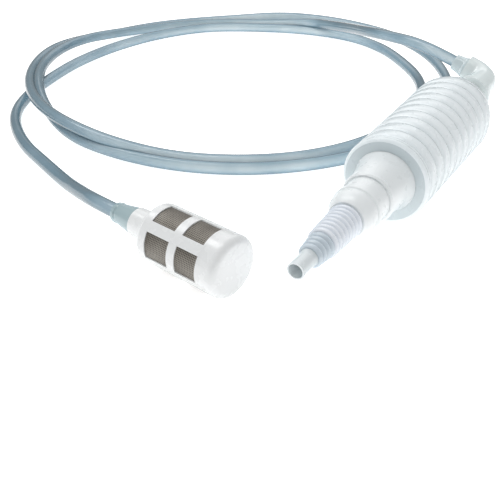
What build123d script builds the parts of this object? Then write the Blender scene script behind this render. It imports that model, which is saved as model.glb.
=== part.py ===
"""Auto siphon: squeeze-bulb pump with two ball valves, bendable nozzle, clear hose and strainer.

Millimetres, +Z up.  The pump lies on the floor along Y with its spout toward -Y, and the origin
is on the floor under the middle of the pump.  Every turned piece is drawn as a half section of
(station, radius) points, where a station is a distance along the turning axis.
"""
from build123d import *
from math import cos, pi, radians, sin, tan
import os

# ---------------------------------------------------------------- driving dimensions
HOSE_D = 6.0                # outside diameter of the clear hose
FRONT_CREST_R = 18.0        # outside radius of the squeeze bulb at its front rim
REAR_CREST_R = 19.3         # and at its rear rib
AXIS_Z = REAR_CREST_R       # the bulb's rear rests on the floor
STATION_ZERO_Y = 0.9        # Y of the pump's station 0, which puts the origin under its middle
LOBES = 10                  # ribs moulded round the bulb
LOBE_PITCH = 7.3
LOBE_RISE = 1.2             # height of a rib over the groove beside it
BULB_WALL = 1.3
FRONT_Y = -36.4             # station of the bulb's front face
RIM_Y = -32.5               # station of the front rim's back, where the ribs start
TIP_Y = -107.2              # station of the spout's mouth
ELBOW_Y = 98.7              # station where the elbow's two axes meet, at a right angle
ARM_RISE = 19               # degrees that the arm points up
BALL_R = 3.2                # both valve balls
BALL_TRAVEL = 2.5           # lift of each ball off its seat
SEAT_R = 2.65               # mouth of a valve seat, where the ball closes it
SEAT_GAP = 0.1              # play between a closed ball and its seat
CHAMBER_R = 4.2             # bore that the seats, stops and balls share
FIT = 0.05                  # radial play of a push fit that still turns

REAR_Y = RIM_Y + LOBES * LOBE_PITCH

# The hose lies in two loose turns beside the pump.
COIL_CENTRE = (-137.5, 69.9)
COIL_OUTER = (122.5, 117.0)         # half axes of the outer turn's centre line
COIL_INNER_CENTRE = (-140.8, 68.6)
COIL_INNER = (112.3, 106.8)         # half axes of the inner turn's centre line
COIL_SIDE = 3.3                     # from a turn's centre line to the coil's side
COIL_FLAT = 6.2                     # height of one layer of hose
COIL_HIGH = 12.5                    # height of two layers
LEAD_ANGLE = 92.45                  # bearing where the lead lands on the coil
TAIL_ANGLE = 115.0                  # bearing where the tail leaves the coil
BRIDGE = (182, 276)                 # bearings where strands rise over the tail and each other
BRIDGE_GAP = (192, 240)             # bearings of the gap under that bridge

# Strainer on the hose's free end, lying on the floor.
STRAINER_AT = (-59.2, -102.3)       # centre of its neck end
STRAINER_BEARING = -7.2             # degrees from +X
CAGE_R = 11.7
CAGE_LENGTH = 36.8
CAP_LENGTH = 7.5
CAP_ROUND = 2.8                     # rounding of the cap's end

os.makedirs("parts", exist_ok=True)


def save(piece, name):
    """Label a finished piece and write it as its own STEP file."""
    piece.part.label = name
    export_step(piece.part, f"parts/{name}.step")


def half_section(plane, *points):
    """Closed outline of (station, radius) points on a plane that holds the turning axis."""
    with BuildSketch(plane) as section:
        with BuildLine():
            Polyline(*points, close=True)
        make_face()
    return section.sketch


# ---------------------------------------------------------------- pump axis
def on_pump(station):
    """Point of the pump axis at a station."""
    return Vector(0, STATION_ZERO_Y + station, AXIS_Z)


pump_plane = Plane(origin=on_pump(0), x_dir=(0, 1, 0), z_dir=(1, 0, 0))
pump_axis = Axis(on_pump(0), (0, 1, 0))


def across_pump(station):
    """Plane square to the pump axis, facing the rear."""
    return Plane(origin=on_pump(station), x_dir=(-1, 0, 0), z_dir=(0, 1, 0))


# ---------------------------------------------------------------- squeeze bulb
FRONT_HOLE_R = 10.6
REAR_NECK_Y = 52.0
REAR_NECK_END_Y = 60.0
REAR_NECK_R = 8.3
PLUG_R = 6.85                       # spigot that plugs the bulb's rear neck


def crest(station):
    """Radius over the ribs, which grows evenly toward the rear."""
    return FRONT_CREST_R + (REAR_CREST_R - FRONT_CREST_R) * (station - RIM_Y) / (REAR_Y - RIM_Y)


def groove(station):
    """Radius in the grooves between the ribs."""
    return crest(station) - LOBE_RISE


def lobe_arcs(inset):
    """Arcs of all the ribs, front to rear, moved inward by the wall thickness."""
    for lobe in range(LOBES):
        start = RIM_Y + lobe * LOBE_PITCH
        middle, end = start + LOBE_PITCH / 2, start + LOBE_PITCH
        ThreePointArc(
            (start, groove(start) - inset),
            (middle, crest(middle) - inset),
            (end, groove(end) - inset),
        )


with BuildPart() as bellows_bulb:
    with BuildSketch(pump_plane):
        with BuildLine():
            # front face, rim bead, ribs, rear shoulder and neck
            rim_middle = (FRONT_Y + RIM_Y) / 2
            Line((FRONT_Y, FRONT_HOLE_R), (FRONT_Y, FRONT_CREST_R - 1.0))
            ThreePointArc((FRONT_Y, FRONT_CREST_R - 1.0), (rim_middle, FRONT_CREST_R), (RIM_Y, groove(RIM_Y)))
            lobe_arcs(0)
            ThreePointArc((REAR_Y, groove(REAR_Y)), (REAR_Y + 7.6, 14.8), (REAR_NECK_Y, REAR_NECK_R))
            Polyline(
                (REAR_NECK_Y, REAR_NECK_R),
                (REAR_NECK_END_Y, REAR_NECK_R),
                (REAR_NECK_END_Y, PLUG_R),
                (REAR_NECK_Y - 1.2, PLUG_R),
            )
            # the same shapes again, one wall further in
            ThreePointArc(
                (REAR_NECK_Y - 1.2, PLUG_R),
                (REAR_Y + 6.6, 13.8),
                (REAR_Y, groove(REAR_Y) - BULB_WALL),
            )
            lobe_arcs(BULB_WALL)
            Polyline(
                (RIM_Y, groove(RIM_Y) - BULB_WALL),
                (FRONT_Y + BULB_WALL, groove(RIM_Y) - BULB_WALL),
                (FRONT_Y + BULB_WALL, FRONT_HOLE_R),
                (FRONT_Y, FRONT_HOLE_R),
            )
        make_face()
    revolve(axis=pump_axis)
save(bellows_bulb, "bellows_bulb")


# ---------------------------------------------------------------- valves
def valve_seat(name, mouth, back, side):
    """Ring with a small cone at its mouth. side is -1 where the ball lies toward -Y."""
    with BuildPart() as seat:
        revolve(
            half_section(
                pump_plane,
                (mouth, SEAT_R),
                (mouth, CHAMBER_R),
                (back, CHAMBER_R),
                (back, SEAT_R - 0.35),
                (mouth - side * 0.4, SEAT_R - 0.35),
            ),
            axis=pump_axis,
        )
    save(seat, name)


def valve_ball(name, mouth, side):
    """Ball resting in the mouth of its seat."""
    depth = (BALL_R**2 - SEAT_R**2) ** 0.5 + SEAT_GAP
    centre = mouth + side * depth
    with BuildPart() as ball:
        with Locations(on_pump(centre)):
            Sphere(BALL_R)
    save(ball, name)
    return centre


def valve_stop(name, centre, side, thickness=2.0):
    """Four-arm spider with a centre boss that ends the ball's travel."""
    boss_tip = centre + side * (BALL_R + BALL_TRAVEL + 0.2)
    near = boss_tip + side * 1.2
    far = near + side * thickness
    low, high = min(near, far), max(near, far)
    with BuildPart() as stop:
        with BuildSketch(across_pump(low)):
            Circle(CHAMBER_R)
            with PolarLocations(2.55, 4, start_angle=45):
                Circle(1.1, mode=Mode.SUBTRACT)
        extrude(amount=high - low)
        with BuildSketch(across_pump(min(boss_tip, near))):
            Circle(1.2)
        extrude(amount=1.2)
    save(stop, name)


# Inlet valve: the seat is toward the hose, and the ball lifts toward the bulb.
INLET_MOUTH = 73.5
INLET_SEAT_BACK = 76.0
valve_seat("inlet_seat", INLET_MOUTH, INLET_SEAT_BACK, -1)
inlet_centre = valve_ball("inlet_ball", INLET_MOUTH, -1)
valve_stop("inlet_stop", inlet_centre, -1)

# Outlet valve: the seat is inside the bulb's mouth, and the ball lifts toward the spout.
OUTLET_MOUTH = -36.5
valve_seat("outlet_seat", OUTLET_MOUTH, -34.0, -1)
outlet_centre = valve_ball("outlet_ball", OUTLET_MOUTH, -1)
valve_stop("outlet_stop", outlet_centre, -1)

# ---------------------------------------------------------------- rear of the pump
SPIGOT_R = 5.8
SPIGOT_START_Y = 69.5
SPIGOT_END_Y = 90.0
FLANGE_Y = REAR_NECK_END_Y

with BuildPart() as rear_plug:
    revolve(
        half_section(
            pump_plane,
            (49.0, CHAMBER_R),
            (49.0, PLUG_R - 0.5),
            (51.0, PLUG_R),
            (FLANGE_Y, PLUG_R),
            (FLANGE_Y, 9.2),
            (FLANGE_Y + 2.5, 9.2),
            (FLANGE_Y + 3.5, 6.9),
            (SPIGOT_START_Y, 6.9),
            (SPIGOT_START_Y, SPIGOT_R),
            (SPIGOT_END_Y, SPIGOT_R),
            (SPIGOT_END_Y, 3.0),
            (INLET_SEAT_BACK, 3.0),
            (INLET_SEAT_BACK, CHAMBER_R),
        ),
        axis=pump_axis,
    )
save(rear_plug, "rear_plug")

# Ring that clamps the bulb's rear neck on the plug.
with BuildPart() as neck_clamp:
    revolve(
        half_section(
            pump_plane,
            (54.0, REAR_NECK_R),
            (54.0, 9.5),
            (58.5, 9.5),
            (58.5, REAR_NECK_R),
        ),
        axis=pump_axis,
    )
    fillet(neck_clamp.edges().filter_by(GeomType.CIRCLE).group_by(SortBy.RADIUS)[-1], 0.5)
save(neck_clamp, "neck_clamp")

# ---------------------------------------------------------------- elbow and its sleeve
ELBOW_R = 6.8
ELBOW_BORE_R = 3.0
SOCKET_START_Y = 70.0
SOCKET_END_Y = SPIGOT_END_Y + 0.3
BEND_RADIUS = 7.6
ARM_LENGTH = 12.0                   # from the elbow's corner to the end of its arm
SLEEVE_LENGTH = 7.0
SOCKET_R = 7.4
LIP_R = 9.6
LIP_LENGTH = 3.2

arm_direction = Vector(-cos(radians(ARM_RISE)), 0, sin(radians(ARM_RISE)))
elbow_corner = on_pump(ELBOW_Y)
arm_end = elbow_corner + arm_direction * ARM_LENGTH
hose_exit = arm_end + arm_direction * SLEEVE_LENGTH


def elbow_path(start):
    """Centre line from a point on the pump axis round to the end of the arm."""
    with BuildLine() as path:
        FilletPolyline(on_pump(start), elbow_corner, arm_end, radius=BEND_RADIUS)
    return path.line


with BuildPart() as elbow:
    with BuildSketch(across_pump(SOCKET_START_Y)):
        Circle(ELBOW_R)
    sweep(path=elbow_path(SOCKET_START_Y))
    with BuildSketch(across_pump(SOCKET_START_Y)):
        Circle(SOCKET_R)
    extrude(amount=SOCKET_END_Y - SOCKET_START_Y - 2.0)
    with BuildSketch(across_pump(SOCKET_START_Y)):
        Circle(LIP_R)
    extrude(amount=LIP_LENGTH)
    with BuildSketch(across_pump(SOCKET_START_Y)):
        Circle(SPIGOT_R + FIT)
    extrude(amount=SOCKET_END_Y - SOCKET_START_Y, mode=Mode.SUBTRACT)
    with BuildSketch(across_pump(SOCKET_END_Y)):
        Circle(ELBOW_BORE_R)
    sweep(path=elbow_path(SOCKET_END_Y), mode=Mode.SUBTRACT)
save(elbow, "elbow")

arm_plane = Plane(
    origin=arm_end,
    x_dir=arm_direction,
    z_dir=arm_direction.cross(Vector(0, 0, 1)),
)
arm_axis = Axis(arm_end, arm_direction)

with BuildPart() as elbow_sleeve:
    revolve(
        half_section(
            arm_plane,
            (0, 2.0),
            (0, 5.2),
            (1.2, 5.2),
            (2.0, 4.7),
            (SLEEVE_LENGTH, 4.0),
            (SLEEVE_LENGTH, 2.0),
        ),
        axis=arm_axis,
    )
save(elbow_sleeve, "elbow_sleeve")

# ---------------------------------------------------------------- front of the pump
ADAPTER_END_Y = -66.0
WASHER_Y = FRONT_Y + BULB_WALL      # inner side of the bulb's front wall
WASHER_THICK = 1.0
ADAPTER_SPIGOT_R = 7.4
RING_BACK_Y = -50.4
RING_FRONT_Y = -53.0

with BuildPart() as front_adapter:
    revolve(
        half_section(
            pump_plane,
            (WASHER_Y + WASHER_THICK + 1.8, 3.0),
            (WASHER_Y + WASHER_THICK + 1.8, 13.6),
            (WASHER_Y + WASHER_THICK, 13.6),
            (WASHER_Y + WASHER_THICK, FRONT_HOLE_R - FIT),
            (FRONT_Y - 0.05, FRONT_HOLE_R - FIT),
            (FRONT_Y - 0.05, 12.8),
            (FRONT_Y - 1.6, 12.2),
            (FRONT_Y - 4.0, 11.5),
            (RING_BACK_Y, 9.9),
            (RING_BACK_Y, 9.3),
            (RING_FRONT_Y - 0.2, 9.3),
            (-60.5, 8.7),
            (-60.5, ADAPTER_SPIGOT_R),
            (ADAPTER_END_Y, ADAPTER_SPIGOT_R),
            (ADAPTER_END_Y, CHAMBER_R),
            (-34.0, CHAMBER_R),
            (-34.0, 3.0),
        ),
        axis=pump_axis,
    )
save(front_adapter, "front_adapter")

with BuildPart() as front_washer:
    revolve(
        half_section(
            pump_plane,
            (WASHER_Y + 0.02, FRONT_HOLE_R),
            (WASHER_Y + 0.02, 13.4),
            (WASHER_Y + WASHER_THICK, 13.4),
            (WASHER_Y + WASHER_THICK, FRONT_HOLE_R),
        ),
        axis=pump_axis,
    )
save(front_washer, "front_washer")

with BuildPart() as lock_ring:
    revolve(
        half_section(
            pump_plane,
            (RING_BACK_Y, 9.3),
            (RING_BACK_Y, 10.2),
            (RING_BACK_Y - 0.7, 10.6),
            (RING_FRONT_Y + 0.7, 10.5),
            (RING_FRONT_Y, 10.0),
            (RING_FRONT_Y, 9.3),
        ),
        axis=pump_axis,
    )
save(lock_ring, "lock_ring")

# Cup-shaped coupling between the adapter and the ribbed neck.
COUPLING_BACK_Y = -60.6
COUPLING_FRONT_Y = -70.3
NECK_SOCKET_R = 5.6
NECK_SOCKET_Y = -66.6

with BuildPart() as coupling:
    with BuildSketch(pump_plane):
        with BuildLine():
            Polyline(
                (COUPLING_FRONT_Y, NECK_SOCKET_R),
                (COUPLING_FRONT_Y, 7.1),
            )
            ThreePointArc((COUPLING_FRONT_Y, 7.1), (-67.4, 8.8), (-63.2, 9.3))
            Polyline(
                (-63.2, 9.3),
                (-62.7, 9.75),
                (-61.2, 9.75),
                (COUPLING_BACK_Y, 9.2),
                (COUPLING_BACK_Y, ADAPTER_SPIGOT_R),
                (ADAPTER_END_Y, ADAPTER_SPIGOT_R),
                (ADAPTER_END_Y, 4.3),
                (NECK_SOCKET_Y, 4.3),
                (NECK_SOCKET_Y, NECK_SOCKET_R),
                (COUPLING_FRONT_Y, NECK_SOCKET_R),
            )
        make_face()
    revolve(axis=pump_axis)
save(coupling, "coupling")

# ---------------------------------------------------------------- nozzle
NECK_RIBS = 8
NECK_PITCH = 2.35
NECK_START_Y = COUPLING_FRONT_Y - 0.05
NECK_END_Y = NECK_START_Y - NECK_RIBS * NECK_PITCH
NECK_START_R = 6.7
NECK_END_R = 5.9
NECK_RIB_RISE = 0.9
NECK_BORE_R = 4.05

with BuildPart() as ribbed_neck:
    with BuildSketch(pump_plane):
        with BuildLine():
            Polyline(
                (NECK_START_Y, NECK_START_R - NECK_RIB_RISE),
                (NECK_START_Y, NECK_SOCKET_R - FIT),
                (NECK_SOCKET_Y - FIT, NECK_SOCKET_R - FIT),
                (NECK_SOCKET_Y - FIT, NECK_BORE_R),
                (NECK_END_Y, NECK_BORE_R),
                (NECK_END_Y, NECK_END_R - NECK_RIB_RISE),
            )
            for rib in range(NECK_RIBS, 0, -1):
                near = NECK_START_Y - rib * NECK_PITCH
                far = near + NECK_PITCH
                taper = (NECK_START_R - NECK_END_R) / NECK_RIBS
                ThreePointArc(
                    (near, NECK_START_R - rib * taper - NECK_RIB_RISE),
                    ((near + far) / 2, NECK_START_R - (rib - 0.5) * taper),
                    (far, NECK_START_R - (rib - 1) * taper - NECK_RIB_RISE),
                )
        make_face()
    revolve(axis=pump_axis)
save(ribbed_neck, "ribbed_neck")

TUBE_RIBS = 4
TUBE_PITCH = 2.2
TUBE_START_Y = NECK_END_Y - 0.05
TUBE_END_Y = TUBE_START_Y - TUBE_RIBS * TUBE_PITCH
TUBE_START_R = 5.4
TUBE_END_R = 4.4
TUBE_RIB_RISE = 0.45
SPOUT_PLUG_R = 2.9

with BuildPart() as nozzle_tube:
    with BuildSketch(pump_plane):
        with BuildLine():
            Polyline(
                (TUBE_START_Y, TUBE_START_R - TUBE_RIB_RISE),
                (TUBE_START_Y, NECK_BORE_R - FIT),
                (TUBE_START_Y + 5.0, NECK_BORE_R - FIT),
                (TUBE_START_Y + 5.0, SPOUT_PLUG_R),
                (TUBE_END_Y, SPOUT_PLUG_R),
                (TUBE_END_Y, TUBE_END_R - TUBE_RIB_RISE),
            )
            for rib in range(TUBE_RIBS, 0, -1):
                near = TUBE_START_Y - rib * TUBE_PITCH
                far = near + TUBE_PITCH
                taper = (TUBE_START_R - TUBE_END_R) / TUBE_RIBS
                ThreePointArc(
                    (near, TUBE_START_R - rib * taper - TUBE_RIB_RISE),
                    ((near + far) / 2, TUBE_START_R - (rib - 0.5) * taper),
                    (far, TUBE_START_R - (rib - 1) * taper - TUBE_RIB_RISE),
                )
        make_face()
    revolve(axis=pump_axis)
save(nozzle_tube, "nozzle_tube")

SPOUT_R = 3.15
SPOUT_BORE_R = 2.55

with BuildPart() as spout:
    revolve(
        half_section(
            pump_plane,
            (TIP_Y, SPOUT_BORE_R),
            (TIP_Y, SPOUT_R),
            (TIP_Y + 7.6, SPOUT_R),
            (TUBE_END_Y, SPOUT_R + 0.25),
            (TUBE_END_Y, SPOUT_PLUG_R),
            (TUBE_END_Y + 4.0, SPOUT_PLUG_R),
            (TUBE_END_Y + 4.0, SPOUT_BORE_R),
        ),
        axis=pump_axis,
    )
save(spout, "spout")

# ---------------------------------------------------------------- strainer
strainer_direction = Vector(cos(radians(STRAINER_BEARING)), sin(radians(STRAINER_BEARING)), 0)
strainer_origin = Vector(STRAINER_AT[0], STRAINER_AT[1], CAGE_R)
strainer_plane = Plane(
    origin=strainer_origin,
    x_dir=strainer_direction,
    z_dir=strainer_direction.cross(Vector(0, 0, 1)),
)
strainer_axis = Axis(strainer_origin, strainer_direction)


def across_strainer(station):
    """Plane square to the strainer's axis with its local Y up."""
    return Plane(
        origin=strainer_origin + strainer_direction * station,
        x_dir=Vector(0, 0, 1).cross(strainer_direction),
        z_dir=strainer_direction,
    )


HEAD_R = 6.9
HEAD_NARROW_R = 5.7
HEAD_LENGTH = 11.0
SLEEVE_LIP = -22.5                  # station of the sleeve's lip, where the hose enters
WALL = 1.1
WINDOW_STARTS = (4.35, 18.9)        # stations where the two rows of windows begin
WINDOW_ENDS = (15.3, 28.7)
RIB_WIDTH = 4.2
CAGE_RIBS = 5
RIB_BEARING = 134                   # turn of the ribs about the axis

with BuildPart() as strainer_head:
    revolve(
        half_section(
            strainer_plane,
            (-HEAD_LENGTH, 2.4),
            (-HEAD_LENGTH, HEAD_NARROW_R),
            (-5.0, 6.1),
            (0, HEAD_R),
            (0, 2.4),
        ),
        axis=strainer_axis,
    )
    # barb that holds the sleeve and the hose
    revolve(
        half_section(
            strainer_plane,
            (-HEAD_LENGTH, 1.4),
            (-HEAD_LENGTH - 8.0, 1.4),
            (-HEAD_LENGTH - 8.0, 2.4),
            (-HEAD_LENGTH, 2.9),
            (-HEAD_LENGTH + 1.0, 2.9),
            (-HEAD_LENGTH + 1.0, 1.4),
        ),
        axis=strainer_axis,
    )
save(strainer_head, "strainer_head")

with BuildPart() as strainer_sleeve:
    revolve(
        half_section(
            strainer_plane,
            (SLEEVE_LIP, 3.05),
            (SLEEVE_LIP, 4.0),
            (SLEEVE_LIP + 1.5, 4.25),
            (SLEEVE_LIP + 2.2, 4.05),
            (-HEAD_LENGTH, 5.6),
            (-HEAD_LENGTH, 3.05),
        ),
        axis=strainer_axis,
    )
save(strainer_sleeve, "strainer_sleeve")

with BuildPart() as strainer_cage:
    with BuildSketch(strainer_plane):
        with BuildLine():
            Polyline((0, HEAD_R - 2.0), (0, CAGE_R - 1.4))
            ThreePointArc((0, CAGE_R - 1.4), (0.45, CAGE_R - 0.4), (1.5, CAGE_R))
            Polyline(
                (1.5, CAGE_R),
                (CAGE_LENGTH - CAP_LENGTH, CAGE_R),
                (CAGE_LENGTH - CAP_LENGTH, CAGE_R - WALL),
                (1.4, CAGE_R - WALL),
                (1.4, HEAD_R - 2.0),
                (0, HEAD_R - 2.0),
            )
        make_face()
    revolve(axis=strainer_axis)
    for start, end in zip(WINDOW_STARTS, WINDOW_ENDS):
        with BuildSketch(across_strainer(start)):
            Circle(CAGE_R + 1.0)
            Circle(CAGE_R - WALL - 0.5, mode=Mode.SUBTRACT)
            with PolarLocations(CAGE_R, CAGE_RIBS, start_angle=RIB_BEARING):
                Rectangle(6.0, RIB_WIDTH, mode=Mode.SUBTRACT)
        extrude(amount=end - start, mode=Mode.SUBTRACT)
save(strainer_cage, "strainer_cage")

with BuildPart() as strainer_mesh:
    revolve(
        half_section(
            strainer_plane,
            (1.5, CAGE_R - WALL - 0.4),
            (1.5, CAGE_R - WALL),
            (CAGE_LENGTH - CAP_LENGTH, CAGE_R - WALL),
            (CAGE_LENGTH - CAP_LENGTH, CAGE_R - WALL - 0.4),
        ),
        axis=strainer_axis,
    )
save(strainer_mesh, "strainer_mesh")

with BuildPart() as strainer_cap:
    with BuildSketch(strainer_plane):
        with BuildLine():
            Polyline(
                (CAGE_LENGTH - CAP_LENGTH, CAGE_R - 2.4),
                (CAGE_LENGTH - CAP_LENGTH, CAGE_R),
                (CAGE_LENGTH - CAP_ROUND, CAGE_R),
            )
            ThreePointArc(
                (CAGE_LENGTH - CAP_ROUND, CAGE_R),
                (CAGE_LENGTH - 0.29 * CAP_ROUND, CAGE_R - 0.29 * CAP_ROUND),
                (CAGE_LENGTH, CAGE_R - CAP_ROUND),
            )
            Polyline(
                (CAGE_LENGTH, CAGE_R - CAP_ROUND),
                (CAGE_LENGTH, 0),
                (CAGE_LENGTH - 1.8, 0),
                (CAGE_LENGTH - 1.8, CAGE_R - 2.4),
                (CAGE_LENGTH - CAP_LENGTH, CAGE_R - 2.4),
            )
        make_face()
    revolve(axis=strainer_axis)
save(strainer_cap, "strainer_cap")


# ---------------------------------------------------------------- hose
def turn_point(bearing, centre, half_axes, height):
    """Point of a turn's centre line at a bearing in degrees."""
    return Vector(
        centre[0] + half_axes[0] * cos(radians(bearing)),
        centre[1] + half_axes[1] * sin(radians(bearing)),
        height,
    )


HIGH = HOSE_D * 1.5 + 0.3           # centre of a strand that lies on another
coil_start = turn_point(LEAD_ANGLE, COIL_INNER_CENTRE, COIL_INNER, HIGH)
coil_end = turn_point(TAIL_ANGLE, COIL_INNER_CENTRE, COIL_INNER, HIGH)
strainer_entry = strainer_origin + strainer_direction * SLEEVE_LIP

STRAIGHT = 18.4                     # straight hose beside each fitting
LEAD_POINTS = [
    hose_exit,
    hose_exit + arm_direction * STRAIGHT,
    (-60.0, 110.8, 29.5),
    (-77.5, 123.0, 26.0),
    (-102.5, 149.6, 18.0),
    (-125.7, 167.8, 12.0),
    coil_start,
]
TAIL_POINTS = [
    coil_end,
    (-203.0, 147.0, 8.8),
    (-216.0, 128.0, 7.0),
    (-228.0, 105.0, 4.6),
    (-235.0, 82.0, 3.0),
    (-237.0, 58.0, 3.0),
    (-235.0, 34.0, 3.0),
    (-230.0, 11.0, 3.0),
    (-220.0, -16.0, 3.0),
    (-203.0, -42.0, 3.0),
    (-176.0, -61.5, 3.0),
    (-148.0, -73.6, 3.0),
    (-122.0, -84.5, 4.5),
    strainer_entry - strainer_direction * STRAIGHT,
    strainer_entry,
]


def bend_radii(points):
    """Largest arc for each corner: 0.45 of its shorter run over the tangent of half the turn."""
    corners = [Vector(point) for point in points]
    radii = []
    for before, here, after in zip(corners, corners[1:], corners[2:]):
        run_in, run_out = here - before, after - here
        half_turn = radians(run_in.get_angle(run_out)) / 2
        radii.append(0.45 * min(run_in.length, run_out.length) / tan(half_turn))
    return radii


def hose_stretch(name, points):
    """Solid rod of the hose's outer diameter along straight runs and tangent arcs."""
    radii = bend_radii(points)
    with BuildPart() as stretch:
        with BuildLine() as route:
            FilletPolyline(*points, radius=radii)
        with BuildSketch(Plane(origin=route.line @ 0, z_dir=route.line % 0)):
            Circle(HOSE_D / 2)
        sweep(path=route.line)
    save(stretch, name)
    length = sum(edge.length for edge in route.line.edges())
    print(name, "length", round(length, 1), "radii", [round(radius) for radius in radii])
    print(name, "volume", round(stretch.part.volume), "of", round(pi * HOSE_D**2 / 4 * length))


hose_stretch("hose_lead", LEAD_POINTS)
hose_stretch("hose_tail", TAIL_POINTS)


def coil_sector(first, last):
    """Pie slice over the coil between two bearings, as plan points round its centre."""
    reach = 3 * COIL_OUTER[0]
    middle = (first + last) / 2
    centre = Vector(*COIL_INNER_CENTRE)
    rays = [Vector(reach * cos(radians(b)), reach * sin(radians(b))) for b in (first, middle, last)]
    return [centre] + [centre + ray for ray in rays]


def coil_plan():
    """Ring between the inside of the inner turn and the outside of the outer turn."""
    with BuildSketch() as plan:
        with Locations(COIL_CENTRE):
            Ellipse(COIL_OUTER[0] + COIL_SIDE, COIL_OUTER[1] + COIL_SIDE)
        with Locations(COIL_INNER_CENTRE):
            Ellipse(COIL_INNER[0] - COIL_SIDE, COIL_INNER[1] - COIL_SIDE, mode=Mode.SUBTRACT)
    return plan.sketch


def sector_plan(first, last):
    """The part of the ring between two bearings."""
    with BuildSketch() as plan:
        add(coil_plan())
        with BuildSketch(mode=Mode.INTERSECT):
            with BuildLine():
                Polyline(*coil_sector(first, last), close=True)
            make_face()
    return plan.sketch


# Two loose turns: one layer on the floor, raised where strands cross.
with BuildPart() as hose_coil:
    extrude(coil_plan(), amount=COIL_FLAT)
    extrude(sector_plan(LEAD_ANGLE, TAIL_ANGLE), amount=COIL_HIGH)
    extrude(sector_plan(*BRIDGE), amount=COIL_HIGH)
    extrude(sector_plan(*BRIDGE_GAP), amount=HOSE_D + 0.3, mode=Mode.SUBTRACT)
save(hose_coil, "hose_coil")

print("hose exit", hose_exit, "arm", arm_direction)
print("coil start", coil_start, "coil end", coil_end, "strainer entry", strainer_entry)
print("ball centres", round(inlet_centre, 3), round(outlet_centre, 3))
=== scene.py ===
"""Auto siphon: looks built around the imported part. Metres, +Z up, pump along Y on the floor."""
from math import cos, pi, radians, sin

import bmesh
import bpy
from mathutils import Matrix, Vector


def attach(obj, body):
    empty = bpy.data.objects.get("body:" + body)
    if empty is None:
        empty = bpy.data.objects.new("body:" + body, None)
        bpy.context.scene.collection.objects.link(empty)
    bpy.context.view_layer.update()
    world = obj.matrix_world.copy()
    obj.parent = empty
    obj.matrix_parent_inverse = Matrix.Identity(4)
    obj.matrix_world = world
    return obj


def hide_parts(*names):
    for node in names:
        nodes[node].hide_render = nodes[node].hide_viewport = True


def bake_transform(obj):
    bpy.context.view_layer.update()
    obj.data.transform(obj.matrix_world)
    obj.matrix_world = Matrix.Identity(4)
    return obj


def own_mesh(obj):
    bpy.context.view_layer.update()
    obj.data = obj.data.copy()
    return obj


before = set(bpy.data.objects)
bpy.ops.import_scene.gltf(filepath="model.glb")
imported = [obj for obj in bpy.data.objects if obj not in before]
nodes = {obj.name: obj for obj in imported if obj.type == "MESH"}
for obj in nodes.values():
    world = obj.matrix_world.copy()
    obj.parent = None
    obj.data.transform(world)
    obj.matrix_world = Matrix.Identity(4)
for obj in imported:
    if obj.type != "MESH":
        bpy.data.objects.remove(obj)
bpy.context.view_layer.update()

MM = 0.001
scene = bpy.context.scene

# ---------------------------------------------------------------- camera
CAMERA_AT = (0.0831, -0.2648, 0.1479)
CAMERA_HEADING = (-0.5366, 0.8438)
CAMERA_PITCH = radians(33.27)

camera_data = bpy.data.cameras.new("camera")
camera_data.lens = 50
camera_data.sensor_width = 36
camera_data.clip_start = 0.01
camera = bpy.data.objects.new("camera", camera_data)
scene.collection.objects.link(camera)
camera.location = CAMERA_AT
level = cos(CAMERA_PITCH)
look = Vector((CAMERA_HEADING[0] * level, CAMERA_HEADING[1] * level, -sin(CAMERA_PITCH)))
camera.rotation_euler = look.to_track_quat("-Z", "Y").to_euler()
scene.camera = camera

# ---------------------------------------------------------------- hose
HOSE_R = 3.0 * MM
# centre and half widths of the two ovals that the turns follow
OUTER_CENTRE, OUTER = (-0.1375, 0.0699), (0.1225, 0.1170)
INNER_CENTRE, INNER = (-0.1408, 0.0686), (0.1123, 0.1068)
# bearings are in degrees about an oval's centre: +X is 0 and +Y is 90
LEAD_ANGLE = 92.45              # where the lead comes down into the first turn
TAIL_ANGLE = 115.0              # where the tail leaves the second turn
LAPS = 720                      # degrees in two turns
TURN_STEP = 15.0
TURN_FIT = 1 / cos(radians(TURN_STEP / 2))      # a spline runs this much inside its control points
FLAT, HIGH = 0.0031, 0.0093     # height of the centre line on the floor, and on another strand


def smooth(value, start, end):
    """0 before start, 1 after end, and an even rise between them."""
    t = min(1.0, max(0.0, (value - start) / (end - start)))
    return t * t * (3 - 2 * t)


def turn_height(bearing):
    """Height of the turns' centre line. Bearings run on past 360 through both turns.

    The lead lands, both turns rise over the tail, and the second one springs up beside the elbow."""
    lands = 1 - smooth(bearing, 84, 112)
    first_lap = smooth(bearing, 150, 196) - smooth(bearing, 234, 256)
    springs_up = 0.7 * (smooth(bearing, 388, 425) - smooth(bearing, 462, 492))
    second_lap = smooth(bearing, 528, 556) - smooth(bearing, 620, 652)
    return FLAT + (HIGH - FLAT) * (lands + first_lap + springs_up + second_lap)


def turn_spread(bearing):
    """0 on the inner oval, 1 on the outer one, and a little under 0 or over 1 beside them."""
    leans_out = 0.3 * (1 - smooth(bearing, 228, 262))
    crosses_out = smooth(bearing, 228, 262)
    swings_wide = 0.15 * (smooth(bearing, 262, 290) - smooth(bearing, 300, 330))
    swings_up = 0.45 * (smooth(bearing, 372, 410) - smooth(bearing, 455, 490))
    crosses_in = 0.6 * smooth(bearing, 624, 655) + 0.4 * smooth(bearing, 670, 720)
    bows_out = 0.45 * (smooth(bearing, 770, 790) - smooth(bearing, 798, 820))
    tucks_in = 0.6 * smooth(bearing, 806, 836)
    return leans_out + crosses_out + swings_wide + swings_up - crosses_in + bows_out - tucks_in


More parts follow.
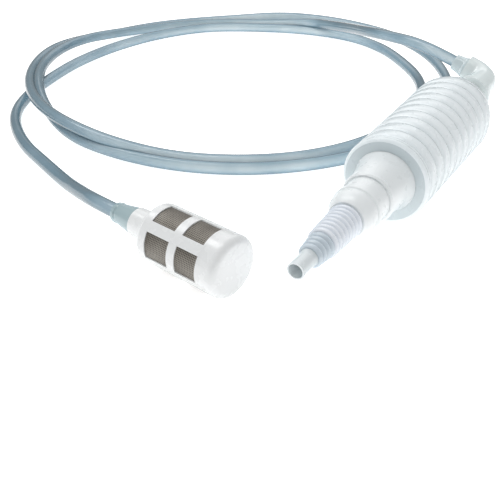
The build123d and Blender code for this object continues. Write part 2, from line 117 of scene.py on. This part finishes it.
def turn_point(bearing):
    """Point of the turns' centre line."""
    out = turn_spread(bearing)
    centre = [INNER_CENTRE[i] + (OUTER_CENTRE[i] - INNER_CENTRE[i]) * out for i in range(2)]
    half = [(INNER[i] + (OUTER[i] - INNER[i]) * out) * TURN_FIT for i in range(2)]
    angle = radians(bearing)
    x = centre[0] + half[0] * cos(angle)
    y = centre[1] + half[1] * sin(angle)
    return (x, y, turn_height(bearing))


LEAD_POINTS = [
    (-0.017965, 0.0996, 0.025486),
    (-0.035362, 0.0996, 0.031476),
    (-0.0600, 0.1108, 0.0295),
    (-0.0775, 0.1230, 0.0260),
    (-0.1025, 0.1496, 0.0180),
    (-0.1257, 0.1678, 0.0120),
]
TAIL_POINTS = [
    (-0.2060, 0.1480, 0.0031),
    (-0.2200, 0.1310, 0.0031),
    (-0.2310, 0.1080, 0.0031),
    (-0.2365, 0.0840, 0.0031),
    (-0.2385, 0.0600, 0.0031),
    (-0.2365, 0.0340, 0.0031),
    (-0.2310, 0.0110, 0.0031),
    (-0.2225, -0.0160, 0.0031),
    (-0.2060, -0.0430, 0.0031),
    (-0.1770, -0.0635, 0.0031),
    (-0.1480, -0.0745, 0.0031),
    (-0.1270, -0.0828, 0.0038),
    (-0.1090, -0.0912, 0.0080),
    (-0.0935, -0.0979, 0.0117),
    (-0.081523, -0.099480, 0.0117),
]
turn_points = []
bearing = LEAD_ANGLE
while bearing < TAIL_ANGLE + LAPS:
    turn_points.append(turn_point(bearing))
    bearing += TURN_STEP
hose_points = LEAD_POINTS + turn_points + TAIL_POINTS


def spline_curve(name, points, radius):
    """Smooth tube on one NURBS spline with these control points.

    The bevel is one metre deep, so each point's radius is the tube's radius there in metres."""
    curve = bpy.data.curves.new(name, "CURVE")
    curve.dimensions = "3D"
    spline = curve.splines.new("NURBS")
    spline.points.add(len(points) - 1)
    for control, place in zip(spline.points, points):
        control.co = (*place, 1)
        control.radius = radius
    spline.order_u = 3
    spline.use_endpoint_u = True
    spline.resolution_u = 14
    curve.bevel_depth = 1.0
    curve.bevel_resolution = 10
    curve.use_fill_caps = True
    obj = bpy.data.objects.new(name, curve)
    scene.collection.objects.link(obj)
    return obj


hose = spline_curve("hose", hose_points, HOSE_R)
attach(hose, "hose_line")
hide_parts("hose_lead", "hose_coil", "hose_tail")


# ---------------------------------------------------------------- turned pieces
AXIS_Z = 0.0193                 # height of the pump's axis in metres
STATION_ZERO_Y = 0.9            # Y of the pump's station 0 in millimetres
LATHE_STEPS = 128
SHARP_ANGLE = radians(50)
ALONG_PUMP = (0, 1, 0)
# the turned pieces' sizes are in millimetres


def on_pump(station):
    """Point of the pump axis at a station in millimetres, in metres."""
    return Vector((0, (STATION_ZERO_Y + station) * MM, AXIS_Z))


def lathe(name, outline, origin, axis):
    """Ring turned from a closed outline of (station, radius) points in millimetres. Its UVs are
    millimetres round the outline's largest radius and millimetres along the axis."""
    axis = Vector(axis).normalized()
    up = Vector((0, 0, 1))
    side = axis.cross(up)
    mesh = bpy.data.meshes.new(name)
    bm = bmesh.new()
    uv = bm.loops.layers.uv.new("millimetres")
    rings = []
    for step in range(LATHE_STEPS):
        angle = 2 * pi * step / LATHE_STEPS
        spoke = side * cos(angle) + up * sin(angle)
        rings.append([bm.verts.new(origin + (axis * at + spoke * r) * MM) for at, r in outline])
    round_length = 2 * pi * max(r for _, r in outline)
    for step in range(LATHE_STEPS):
        ring, following = rings[step], rings[(step + 1) % LATHE_STEPS]
        for k in range(len(outline)):
            n = (k + 1) % len(outline)
            face = bm.faces.new((ring[k], ring[n], following[n], following[k]))
            corners = ((step, k), (step, n), (step + 1, n), (step + 1, k))
            for loop, (s, c) in zip(face.loops, corners):
                loop[uv].uv = (round_length * s / LATHE_STEPS, outline[c][0])
            face.smooth = True
    bmesh.ops.recalc_face_normals(bm, faces=bm.faces)
    bm.to_mesh(mesh)
    bm.free()
    mesh.set_sharp_from_angle(angle=SHARP_ANGLE)
    obj = bpy.data.objects.new(name, mesh)
    scene.collection.objects.link(obj)
    return obj


def ribs(start, count, pitch, crest, rise, power, samples=12):
    """Outline along a row of moulded ribs. A high power gives wide ribs with narrow grooves.

    crest gives the radius over the ribs at a station, and rise is the grooves' depth."""
    points = []
    for rib in range(count):
        for sample in range(samples):
            t = sample / samples
            at = start + (rib + t) * pitch
            points.append((at, crest(at) - rise * abs(2 * t - 1) ** power))
    return points


FRONT, RIM, REAR = -36.4, -32.5, 40.5
RIM_CREST_R, CREST_GROWTH = 18.0, 1.3
LOBES, LOBE_PITCH, LOBE_RISE = 10, 7.3, 1.0
LOBE_POWER = 4
WALL = 1.3
FRONT_HOLE_R, FRONT_MIDDLE_R, FRONT_FACE_R, FRONT_INSIDE_R = 10.65, 14.0, 16.6, 15.6
EDGE_R, EDGE_DROP = 17.0, 0.05
BEAD_RISE, BEAD_POWER = 0.75, 5
BEAD_START = 0.15               # from the front face to the first bead
BEAD_GROOVE, GROOVE_SLOPE = 0.35, 9
BEAD_SAMPLES = 10
FRONT_BANDS = 2                 # bands of faces, from the hole outward, that make the flat front


def bulb_crest(station):
    """Radius over the bulb's ribs, which grows evenly toward the rear."""
    return RIM_CREST_R + CREST_GROWTH * (station - RIM) / (REAR - RIM)


def rim_bead():
    """Outline of the bead moulded round the bulb's front rim, with a fine groove round its middle."""
    points = []
    for sample in range(BEAD_SAMPLES + 1):
        t = sample / BEAD_SAMPLES
        at = FRONT + BEAD_START + (RIM - FRONT - BEAD_START) * t
        bead = RIM_CREST_R - BEAD_RISE * abs(2 * t - 1) ** BEAD_POWER
        points.append((at, bead - BEAD_GROOVE * max(0.0, 1 - abs(t - 0.5) * GROOVE_SLOPE)))
    return points


rear_r = bulb_crest(REAR) - LOBE_RISE
bulb_outside = [(FRONT, FRONT_HOLE_R), (FRONT, FRONT_MIDDLE_R), (FRONT, FRONT_FACE_R)]
bulb_outside += [(FRONT + EDGE_DROP, EDGE_R)] + rim_bead()
bulb_outside += ribs(RIM, LOBES, LOBE_PITCH, bulb_crest, LOBE_RISE, LOBE_POWER)
bulb_outside += [(REAR, rear_r)]
bulb_inside = [(REAR, rear_r - WALL), (FRONT + WALL, FRONT_INSIDE_R), (FRONT + WALL, FRONT_HOLE_R)]
bulb_outline = bulb_outside + bulb_inside
bellows = lathe("bellows", bulb_outline, on_pump(0), ALONG_PUMP)
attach(bellows, "pump_rear")
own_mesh(bellows)
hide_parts("bellows_bulb")

SHOULDER_END, NECK_START, NECK_END = 52.0, 52.6, 60.0
SHOULDER_SAMPLES = 16
SHOULDER_END_R, NECK_R, NECK_BORE_R = 8.6, 8.3, 6.9
INSIDE_END, INSIDE_R = 50.6, 16.8
shoulder_outline = []
for sample in range(SHOULDER_SAMPLES + 1):
    turn = radians(90 * sample / SHOULDER_SAMPLES)
    at = REAR + (SHOULDER_END - REAR) * sin(turn)
    shoulder_outline.append((at, SHOULDER_END_R + (rear_r - SHOULDER_END_R) * cos(turn)))
shoulder_outline += [(NECK_START, NECK_R), (NECK_END, NECK_R), (NECK_END, NECK_BORE_R)]
shoulder_outline += [(INSIDE_END, NECK_BORE_R), (REAR, INSIDE_R)]
shoulder = lathe("bulb_shoulder", shoulder_outline, on_pump(0), ALONG_PUMP)
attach(shoulder, "pump_rear")
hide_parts("bellows_bulb")

BEND_FRONT, BEND_BACK, CUFF_BACK = -89.15, -70.35, -66.7
FRONT_CREST_R, BACK_GROWTH = 5.9, 0.8
RINGS, RING_PITCH, RING_RISE, RING_POWER = 8, 2.35, 1.0, 3
STEP_R, CUFF_R, NECK_INSIDE_R = 5.7, 5.55, 4.05


def neck_crest(station):
    """Radius over the bendable neck's rings, which grows evenly toward the bulb."""
    return FRONT_CREST_R + BACK_GROWTH * (station - BEND_FRONT) / (BEND_BACK - BEND_FRONT)


neck_outline = ribs(BEND_FRONT, RINGS, RING_PITCH, neck_crest, RING_RISE, RING_POWER, samples=8)
neck_outline += [(BEND_BACK, STEP_R), (BEND_BACK, CUFF_R), (CUFF_BACK, CUFF_R)]
neck_outline += [(CUFF_BACK, NECK_INSIDE_R), (BEND_FRONT, NECK_INSIDE_R)]
bent_neck = lathe("bendable_neck", neck_outline, on_pump(0), ALONG_PUMP)
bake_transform(bent_neck)
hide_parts("ribbed_neck")

STRAINER_AT = (-0.0592, -0.1023, 0.0117)
STRAINER_BEARING = radians(-7.2)
MESH_START, MESH_END, MESH_INSIDE_R, MESH_R = 1.5, 29.3, 10.6, 11.25
strainer_axis = (cos(STRAINER_BEARING), sin(STRAINER_BEARING), 0)
mesh_outline = [(MESH_START, MESH_INSIDE_R), (MESH_START, MESH_R)]
mesh_outline += [(MESH_END, MESH_R), (MESH_END, MESH_INSIDE_R)]
weave = lathe("woven_mesh", mesh_outline, Vector(STRAINER_AT), strainer_axis)
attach(weave, "hose_line")
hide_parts("strainer_mesh")


# ---------------------------------------------------------------- materials
WHITE = (1, 1, 1, 1)


def linear(value):
    """Linear value of one screen channel of 0 to 255."""
    value = value / 255
    return value / 12.92 if value <= 0.04045 else ((value + 0.055) / 1.055) ** 2.4


def srgb(red, green, blue):
    """Linear colour from screen values of 0 to 255."""
    return (linear(red), linear(green), linear(blue), 1.0)


def grey(value):
    """Grey of a linear value, which also carries a roughness or a cover through a ramp."""
    return (value, value, value, 1)


def mixed(a, b, t):
    """Colour on the way from a to b, which it reaches when t is 1."""
    return tuple(a[i] + (b[i] - a[i]) * t for i in range(4))


def new_material(name):
    """New material, its node tree and its shader."""
    material = bpy.data.materials.new(name)
    material.use_nodes = True
    tree = material.node_tree
    return material, tree, tree.nodes["Principled BSDF"]


def ramp(tree, source, stops):
    """Colour ramp fed by a socket. stops are (position, colour)."""
    node = tree.nodes.new("ShaderNodeValToRGB")
    elements = node.color_ramp.elements
    while len(elements) > 1:
        elements.remove(elements[-1])
    elements[0].position, elements[0].color = stops[0]
    for position, colour in stops[1:]:
        elements.new(position).color = colour
    tree.links.new(source, node.inputs["Fac"])
    return node.outputs["Color"]


def facing(tree):
    """0 where the surface is seen square on, 1 where it's seen edge on."""
    node = tree.nodes.new("ShaderNodeLayerWeight")
    node.inputs["Blend"].default_value = 0.5
    return node.outputs["Facing"]


def noise(tree, scale, detail, stretch=None):
    """Noise in object space. stretch scales it apart on each axis."""
    coordinates = tree.nodes.new("ShaderNodeTexCoord")
    node = tree.nodes.new("ShaderNodeTexNoise")
    node.inputs["Scale"].default_value = scale
    node.inputs["Detail"].default_value = detail
    if stretch:
        mapping = tree.nodes.new("ShaderNodeMapping")
        mapping.inputs["Scale"].default_value = stretch
        tree.links.new(coordinates.outputs["Object"], mapping.inputs["Vector"])
        tree.links.new(mapping.outputs["Vector"], node.inputs["Vector"])
    else:
        tree.links.new(coordinates.outputs["Object"], node.inputs["Vector"])
    return node.outputs["Fac"]


MIX_FACTOR, MIX_A, MIX_B = 0, 6, 7      # the Mix node's inputs in its colour mode
MIX_RESULT = 2                          # and its output


def mix(tree, kind, a, b):
    """Full colour mix of two sockets."""
    node = tree.nodes.new("ShaderNodeMix")
    node.data_type = "RGBA"
    node.blend_type = kind
    node.inputs[MIX_FACTOR].default_value = 1.0
    tree.links.new(a, node.inputs[MIX_A])
    tree.links.new(b, node.inputs[MIX_B])
    return node.outputs[MIX_RESULT]


def bump(tree, shader, height, strength, distance):
    """Fine relief from a height socket. distance is in metres."""
    node = tree.nodes.new("ShaderNodeBump")
    node.inputs["Strength"].default_value = strength
    node.inputs["Distance"].default_value = distance
    tree.links.new(height, node.inputs["Height"])
    tree.links.new(node.outputs["Normal"], shader.inputs["Normal"])


def moulded(name, body, edge, shade, roughness, edge_shade_from, cover=None, coat=0.15):
    """Moulded plastic: body colour that darkens to edge where it's seen aslant, as painted shade on its
    silhouettes, with faint flow marks, a fine moulded grain and uneven gloss. shade is the tint of
    the flow marks, and cover is how much a translucent wall hides, seen square on and edge on."""
    material, tree, shader = new_material(name)
    # painted shade: the body colour darkens to the edge colour toward the silhouettes
    tone = ramp(tree, facing(tree), [(edge_shade_from, body), (0.8, mixed(body, edge, 0.4)), (0.97, edge)])
    flow = ramp(tree, noise(tree, 30, 2, (1, 0.35, 1)), [(0.2, shade), (0.8, WHITE)])
    tree.links.new(mix(tree, "MULTIPLY", tone, flow), shader.inputs["Base Color"])
    smoothest, roughest = grey(roughness - 0.06), grey(roughness + 0.08)
    gloss = ramp(tree, noise(tree, 240, 2), [(0.3, smoothest), (0.7, roughest)])
    tree.links.new(gloss, shader.inputs["Roughness"])
    shader.inputs["Subsurface Weight"].default_value = 0.25
    shader.inputs["Subsurface Radius"].default_value = (1.0, 1.0, 1.0)
    shader.inputs["Subsurface Scale"].default_value = 0.0015
    shader.inputs["Coat Weight"].default_value = coat
    shader.inputs["Coat Roughness"].default_value = 0.12
    bump(tree, shader, noise(tree, 1400, 2), 0.06, 0.0001)
    if cover:
        hides = ramp(tree, facing(tree), [(0.05, grey(cover[0])), (0.8, grey(cover[1]))])
        tree.links.new(hides, shader.inputs["Alpha"])
    return material


def wear(obj, material):
    """Gives an object this material alone."""
    obj.data.materials.clear()
    obj.data.materials.append(material)


# the second colour of each material is the painted shade that its silhouettes darken to
bulb_skin = moulded(
    "bulb_skin", srgb(238, 243, 245), srgb(84, 114, 122), srgb(240, 244, 246), 0.28, 0.55)
# a greyer copy of the bulb plastic: painted shade on the bulb's flat front face
bulb_face_painted_shade = moulded(
    "bulb_face_painted_shade", srgb(206, 215, 218), srgb(96, 124, 132), srgb(240, 244, 246), 0.3, 0.7)
white_body = moulded(
    "white_body", srgb(238, 241, 242), srgb(200, 210, 213), srgb(240, 243, 244), 0.3, 0.6)
neck_skin = moulded(
    "neck_skin", srgb(236, 240, 245), srgb(146, 162, 178), srgb(232, 236, 242), 0.3, 0.4)
nozzle_skin = moulded(
    "nozzle_skin", srgb(214, 224, 231), srgb(146, 162, 176), srgb(226, 232, 238), 0.25, 0.4,
    cover=(0.85, 1.0))
spout_skin = moulded(
    "spout_skin", srgb(232, 238, 240), srgb(170, 186, 192), srgb(236, 240, 242), 0.22, 0.45,
    cover=(0.8, 1.0))
elbow_skin = moulded(
    "elbow_skin", srgb(240, 246, 246), srgb(168, 186, 190), srgb(236, 242, 242), 0.2, 0.45,
    cover=(0.85, 1.0))
sleeve_skin = moulded(
    "sleeve_skin", srgb(184, 202, 206), srgb(112, 138, 146), srgb(222, 232, 234), 0.18, 0.3,
    cover=(0.7, 1.0))
elbow_sleeve_skin = moulded(
    "elbow_sleeve_skin", srgb(222, 232, 234), srgb(150, 172, 178), srgb(232, 238, 240), 0.2, 0.4,
    cover=(0.8, 1.0))
cage_skin = moulded(
    "cage_skin", srgb(229, 231, 232), srgb(160, 166, 164), srgb(247, 247, 246), 0.26, 0.55)
washer_skin = moulded(
    "washer_skin", srgb(190, 196, 198), srgb(150, 156, 160), srgb(225, 228, 230), 0.6, 0.5, coat=0.0)


def clear_tube():
    """Clear vinyl: pale blue-grey, darker at its sides, which is partly the tint of more wall looked
    through and partly painted shade.
    """
    material, tree, shader = new_material("clear_vinyl")
    # painted shade, partly the wall's own tint: the tube darkens from a pale middle to dark sides
    tone = ramp(
        tree,
        facing(tree),
        [
            (0.0, srgb(216, 231, 236)),
            (0.14, srgb(188, 208, 217)),
            (0.34, srgb(152, 176, 189)),
            (0.58, srgb(104, 130, 143)),
            (0.85, srgb(58, 80, 90)),
        ],
    )
    cloud = ramp(tree, noise(tree, 45, 3), [(0.35, srgb(226, 234, 238)), (0.65, WHITE)])
    tree.links.new(mix(tree, "MULTIPLY", tone, cloud), shader.inputs["Base Color"])
    hides = ramp(tree, facing(tree), [(0.0, grey(0.72)), (0.3, grey(0.85)), (0.5, grey(1.0))])
    tree.links.new(hides, shader.inputs["Alpha"])
    gloss = ramp(tree, noise(tree, 160, 2), [(0.3, grey(0.14)), (0.7, grey(0.24))])
    tree.links.new(gloss, shader.inputs["Roughness"])
    shader.inputs["IOR"].default_value = 1.45
    shader.inputs["Coat Weight"].default_value = 0.2
    shader.inputs["Coat Roughness"].default_value = 0.15
    bump(tree, shader, noise(tree, 320, 2), 0.05, 0.0002)
    return material


WEAVE_SCALE = 0.42              # over UVs in millimetres, for about 4 wires in 3 mm


def woven_mesh():
    """Fine woven wire: two sets of crossing wires with dark gaps between them."""
    material, tree, shader = new_material("woven_mesh")
    coordinates = tree.nodes.new("ShaderNodeTexCoord")
    heights = []
    for direction in ("X", "Y"):
        wave = tree.nodes.new("ShaderNodeTexWave")
        wave.bands_direction = direction
        wave.inputs["Scale"].default_value = WEAVE_SCALE
        tree.links.new(coordinates.outputs["UV"], wave.inputs["Vector"])
        heights.append(wave.outputs["Fac"])
    wires = mix(tree, "LIGHTEN", heights[0], heights[1])
    tone = ramp(tree, wires, [(0.3, srgb(44, 42, 39)), (0.95, srgb(146, 141, 132))])
    patch = ramp(tree, noise(tree, 90, 3), [(0.3, srgb(190, 186, 182)), (0.7, WHITE)])
    tree.links.new(mix(tree, "MULTIPLY", tone, patch), shader.inputs["Base Color"])
    shader.inputs["Metallic"].default_value = 0.35
    shader.inputs["Roughness"].default_value = 0.45
    bump(tree, shader, wires, 0.4, 0.0002)
    return material


wear(hose, clear_tube())
wear(bellows, bulb_skin)
bellows.data.materials.append(bulb_face_painted_shade)
# the flat front bands wear the greyer copy, which is painted shade on the front face
for face in bellows.data.polygons:
    face.material_index = 1 if face.index % len(bulb_outline) < FRONT_BANDS else 0
wear(shoulder, bulb_skin)
wear(bent_neck, neck_skin)
wear(weave, woven_mesh())

MATERIALS = {
    "inlet_seat": white_body,
    "inlet_ball": washer_skin,
    "inlet_stop": white_body,
    "outlet_seat": white_body,
    "outlet_ball": washer_skin,
    "outlet_stop": white_body,
    "rear_plug": white_body,
    "neck_clamp": white_body,
    "elbow": elbow_skin,
    "elbow_sleeve": elbow_sleeve_skin,
    "front_adapter": white_body,
    "front_washer": washer_skin,
    "lock_ring": white_body,
    "coupling": white_body,
    "nozzle_tube": nozzle_skin,
    "spout": spout_skin,
    "strainer_head": cage_skin,
    "strainer_sleeve": sleeve_skin,
    "strainer_cage": cage_skin,
    "strainer_cap": cage_skin,
}
for node_name, material in MATERIALS.items():
    wear(nodes[node_name], material)

# ---------------------------------------------------------------- floor and light
FLOOR_REACH = 6.0
floor_mesh = bpy.data.meshes.new("floor")
floor_corners = [(x * FLOOR_REACH, y * FLOOR_REACH, 0) for x, y in ((-1, -1), (1, -1), (1, 1), (-1, 1))]
floor_mesh.from_pydata(floor_corners, [], [(0, 1, 2, 3)])
floor = bpy.data.objects.new("floor", floor_mesh)
scene.collection.objects.link(floor)
floor_material, floor_tree, floor_shader = new_material("floor_white")
floor_shader.inputs["Base Color"].default_value = (0.9, 0.9, 0.9, 1)
floor_shader.inputs["Roughness"].default_value = 0.9
floor_shader.inputs["Specular IOR Level"].default_value = 0.0
floor_shader.inputs["Emission Color"].default_value = WHITE
floor_shader.inputs["Emission Strength"].default_value = 0.75
floor_mesh.materials.append(floor_material)

world = bpy.data.worlds.new("studio")
scene.world = world
world.use_nodes = True
background = world.node_tree.nodes["Background"]
background.inputs["Color"].default_value = WHITE
background.inputs["Strength"].default_value = 0.52


def softbox(name, place, target, width, height, power):
    """Rectangular light at a place, turned to a target. Its power is in watts."""
    light = bpy.data.lights.new(name, "AREA")
    light.shape = "RECTANGLE"
    light.size, light.size_y = width, height
    light.energy = power
    obj = bpy.data.objects.new(name, light)
    scene.collection.objects.link(obj)
    obj.location = place
    aim = Vector(target) - Vector(place)
    obj.rotation_euler = aim.to_track_quat("-Z", "Y").to_euler()


softbox("key", (-0.5, 0.0, 1.0), (-0.1, 0.0, 0.0), 0.35, 1.0, 6.0)
softbox("back", (-0.6, 1.0, 1.0), (-0.1, 0.1, 0.0), 1.4, 1.0, 5.0)

scene.view_settings.view_transform = "Standard"
